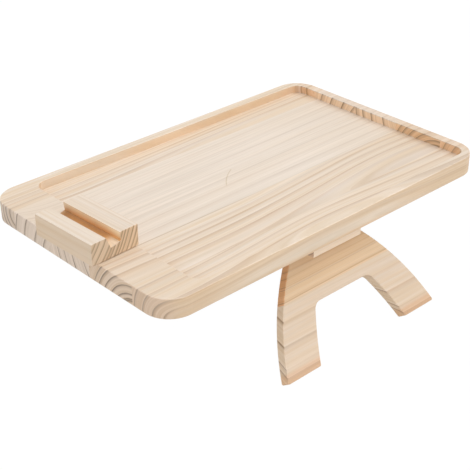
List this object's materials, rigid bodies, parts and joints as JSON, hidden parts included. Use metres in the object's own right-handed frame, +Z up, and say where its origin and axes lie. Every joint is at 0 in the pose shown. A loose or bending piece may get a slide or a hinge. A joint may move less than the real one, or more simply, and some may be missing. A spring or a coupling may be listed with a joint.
{
  "type": "sofa arm tray",
  "caption": "Pine tray that straddles a sofa arm on arch-shaped folding legs, with a milled pocket and a swivelling slotted phone stand.",
  "frame": {"origin": "centre of the board's underside, the face that rests on the sofa's arm", "axes": "+X along the board's length, away from the phone stand; +Y to the back; +Z up"},
  "size_m": [0.4095, 0.3184, 0.1369],
  "materials": {
    "board_pine": "bare sanded pine",
    "stand_pine": "bare sanded pine",
    "leg_pine": "bare sanded pine",
    "hinge_steel": "zinc-plated, satin",
    "screw_steel": "zinc-plated, satin",
    "insert_brass": "turned",
    "glide_plastic": "natural nylon"
  },
  "bodies": {
    "board": {"front_stave": "board_pine", "front_middle_stave": "board_pine", "centre_stave": "board_pine", "back_middle_stave": "board_pine", "back_stave": "board_pine", "front_stop_block": "leg_pine", "back_stop_block": "leg_pine", "front_stop_screws": "screw_steel", "back_stop_screws": "screw_steel", "front_hinge_tray_leaf": "hinge_steel", "back_hinge_tray_leaf": "hinge_steel", "front_hinge_pin": "hinge_steel", "back_hinge_pin": "hinge_steel", "front_hinge_tray_screws": "screw_steel", "back_hinge_tray_screws": "screw_steel", "swivel_washer": "screw_steel", "swivel_glide": "glide_plastic"},
    "front_leg": {"front_leg": "leg_pine", "front_hinge_leg_leaf": "hinge_steel", "front_hinge_leg_screws": "screw_steel"},
    "back_leg": {"back_leg": "leg_pine", "back_hinge_leg_leaf": "hinge_steel", "back_hinge_leg_screws": "screw_steel"},
    "phone_stand": {"phone_stand": "stand_pine", "stand_insert": "insert_brass", "swivel_bolt": "screw_steel"}
  },
  "joints": [
    {"name": "front_leg_fold", "type": "hinge", "parent": "board", "child": "front_leg", "pos_m": [0, -0.0815, -0.00335], "axis": [1, 0, 0], "range_deg": [0, 125]},
    {"name": "back_leg_fold", "type": "hinge", "parent": "board", "child": "back_leg", "pos_m": [0, 0.0815, -0.00335], "axis": [-1, 0, 0], "range_deg": [0, 110]},
    {"name": "phone_stand_swivel", "type": "hinge", "parent": "board", "child": "phone_stand", "pos_m": [-0.183, -0.0018, 0.0201], "axis": [0, 0, 1], "continuous": true}
  ]
}
